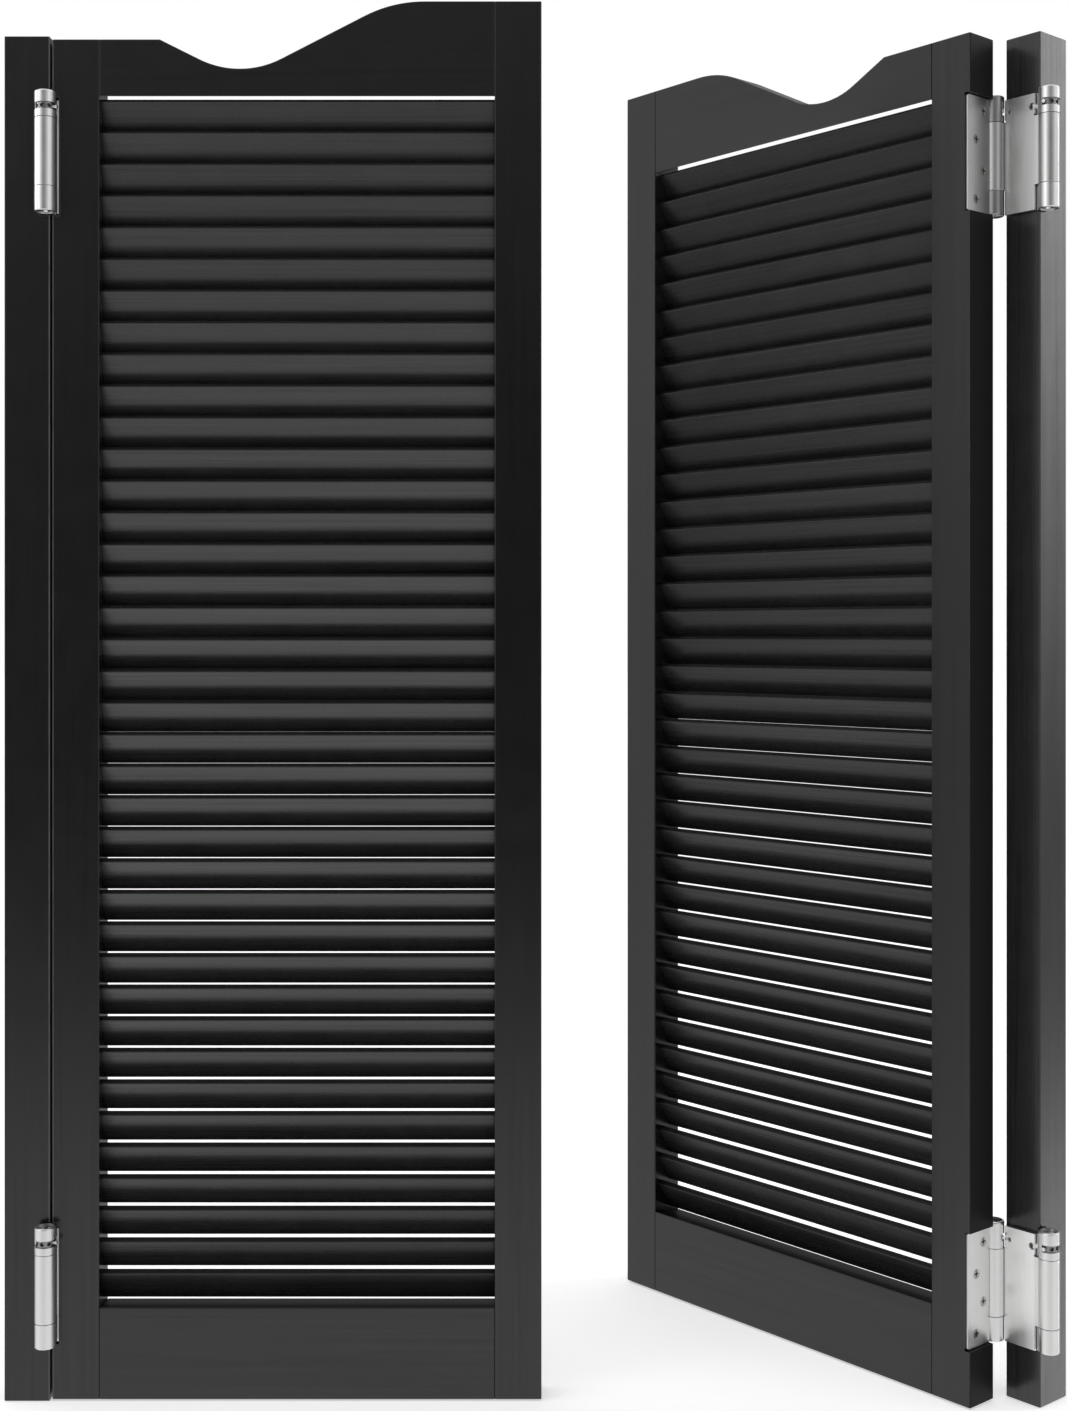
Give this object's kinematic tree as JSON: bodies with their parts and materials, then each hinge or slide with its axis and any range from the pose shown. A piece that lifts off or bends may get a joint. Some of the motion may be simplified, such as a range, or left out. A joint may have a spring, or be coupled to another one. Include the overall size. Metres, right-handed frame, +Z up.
{
  "type": "cafe swinging doors",
  "caption": "Pair of louvred cafe doors with scalloped tops, each on its own jamb post with double-action spring hinges; one closed, one swung open.",
  "frame": {"origin": "centre of the left post's wall face, at the post's mid height", "axes": "+X across the opening to the right post, fronts face -Y, +Z up; the right unit stands turned out of line with its door open"},
  "size_m": [0.9014, 0.3429, 1.1852],
  "materials": {
    "black_wood": "satin black lacquer over fine grain",
    "dowel_wood": "raw beech",
    "hinge_steel": "satin brushed stainless",
    "spindle_steel": "turned stainless",
    "spring_steel": "oiled spring steel",
    "screw_steel": "stainless, cross recess",
    "bush_nylon": "natural nylon"
  },
  "bodies": {
    "left_post": {"left_post": "black_wood", "left_upper_jamb_leaf": "hinge_steel", "left_lower_jamb_leaf": "hinge_steel", "left_front_spindles": "spindle_steel", "left_jamb_screws": "screw_steel"},
    "left_leaf": {"left_hinge_stile": "black_wood", "left_meeting_stile": "black_wood", "left_top_rail": "black_wood", "left_bottom_rail": "black_wood", "left_louvre_slats": "black_wood", "left_rail_dowels": "dowel_wood", "left_upper_door_leaf": "hinge_steel", "left_lower_door_leaf": "hinge_steel", "left_back_spindles": "spindle_steel", "left_door_screws": "screw_steel"},
    "left_web": {"left_upper_web": "hinge_steel", "left_lower_web": "hinge_steel", "left_spindle_bushes": "bush_nylon", "left_front_springs": "spring_steel", "left_back_springs": "spring_steel"},
    "left_upper_front_adjuster": {"left_upper_front_ring": "spindle_steel", "left_upper_front_pin": "spindle_steel"},
    "left_lower_front_adjuster": {"left_lower_front_ring": "spindle_steel", "left_lower_front_pin": "spindle_steel"},
    "left_upper_back_adjuster": {"left_upper_back_ring": "spindle_steel", "left_upper_back_pin": "spindle_steel"},
    "left_lower_back_adjuster": {"left_lower_back_ring": "spindle_steel", "left_lower_back_pin": "spindle_steel"},
    "right_post": {"right_post": "black_wood", "right_upper_jamb_leaf": "hinge_steel", "right_lower_jamb_leaf": "hinge_steel", "right_front_spindles": "spindle_steel", "right_jamb_screws": "screw_steel"},
    "right_leaf": {"right_hinge_stile": "black_wood", "right_meeting_stile": "black_wood", "right_top_rail": "black_wood", "right_bottom_rail": "black_wood", "right_louvre_slats": "black_wood", "right_rail_dowels": "dowel_wood", "right_upper_door_leaf": "hinge_steel", "right_lower_door_leaf": "hinge_steel", "right_back_spindles": "spindle_steel", "right_door_screws": "screw_steel"},
    "right_web": {"right_upper_web": "hinge_steel", "right_lower_web": "hinge_steel", "right_spindle_bushes": "bush_nylon", "right_front_springs": "spring_steel", "right_back_springs": "spring_steel"},
    "right_upper_front_adjuster": {"right_upper_front_ring": "spindle_steel", "right_upper_front_pin": "spindle_steel"},
    "right_lower_front_adjuster": {"right_lower_front_ring": "spindle_steel", "right_lower_front_pin": "spindle_steel"},
    "right_upper_back_adjuster": {"right_upper_back_ring": "spindle_steel", "right_upper_back_pin": "spindle_steel"},
    "right_lower_back_adjuster": {"right_lower_back_ring": "spindle_steel", "right_lower_back_pin": "spindle_steel"}
  },
  "joints": [
    {"name": "left_swing_forward", "type": "hinge", "parent": "left_post", "child": "left_web", "pos_m": [0.0365, -0.0243, 0], "axis": [0, 0, -1], "range_deg": [0, 110], "stiffness_Nm_per_rad": 1, "springref_deg": -20.05},
    {"name": "left_swing_backward", "type": "hinge", "parent": "left_web", "child": "left_leaf", "pos_m": [0.046, 0.0243, 0], "axis": [0, 0, 1], "range_deg": [0, 110], "stiffness_Nm_per_rad": 1, "springref_deg": -20.05},
    {"name": "right_unit_turn", "type": "hinge", "parent": "left_post", "child": "right_post", "pos_m": [0.89404, -0.02855, 0], "axis": [0, 0, 1], "range_deg": [-40.9, 9.09]},
    {"name": "right_swing_forward", "type": "hinge", "parent": "right_post", "child": "right_web", "pos_m": [0.87906, -0.0359, 0], "axis": [0, 0, 1], "range_deg": [0, 110], "stiffness_Nm_per_rad": 1, "springref_deg": -20.05},
    {"name": "right_swing_backward", "type": "hinge", "parent": "right_web", "child": "right_leaf", "pos_m": [0.84006, -0.00539, 0], "axis": [0, 0, -1], "range_deg": [-90, 20]},
    {"name": "left_upper_front_tension", "type": "hinge", "parent": "left_post", "child": "left_upper_front_adjuster", "pos_m": [0.0365, -0.0243, 0], "axis": [0, 0, -1], "range_deg": [0, 165]},
    {"name": "left_lower_front_tension", "type": "hinge", "parent": "left_post", "child": "left_lower_front_adjuster", "pos_m": [0.0365, -0.0243, 0], "axis": [0, 0, -1], "range_deg": [0, 165]},
    {"name": "left_upper_back_tension", "type": "hinge", "parent": "left_leaf", "child": "left_upper_back_adjuster", "pos_m": [0.046, 0.0243, 0], "axis": [0, 0, -1], "range_deg": [0, 165]},
    {"name": "left_lower_back_tension", "type": "hinge", "parent": "left_leaf", "child": "left_lower_back_adjuster", "pos_m": [0.046, 0.0243, 0], "axis": [0, 0, -1], "range_deg": [0, 165]},
    {"name": "right_upper_front_tension", "type": "hinge", "parent": "right_post", "child": "right_upper_front_adjuster", "pos_m": [0.87906, -0.0359, 0], "axis": [0, 0, 1], "range_deg": [0, 165]},
    {"name": "right_lower_front_tension", "type": "hinge", "parent": "right_post", "child": "right_lower_front_adjuster", "pos_m": [0.87906, -0.0359, 0], "axis": [0, 0, 1], "range_deg": [0, 165]},
    {"name": "right_upper_back_tension", "type": "hinge", "parent": "right_leaf", "child": "right_upper_back_adjuster", "pos_m": [0.84006, -0.00539, 0], "axis": [0, 0, 1], "range_deg": [0, 165]},
    {"name": "right_lower_back_tension", "type": "hinge", "parent": "right_leaf", "child": "right_lower_back_adjuster", "pos_m": [0.84006, -0.00539, 0], "axis": [0, 0, 1], "range_deg": [0, 165]}
  ],
  "couplings": [
    {"joint": "right_unit_turn", "follows": "right_swing_backward", "ratio": 0.45444}
  ]
}
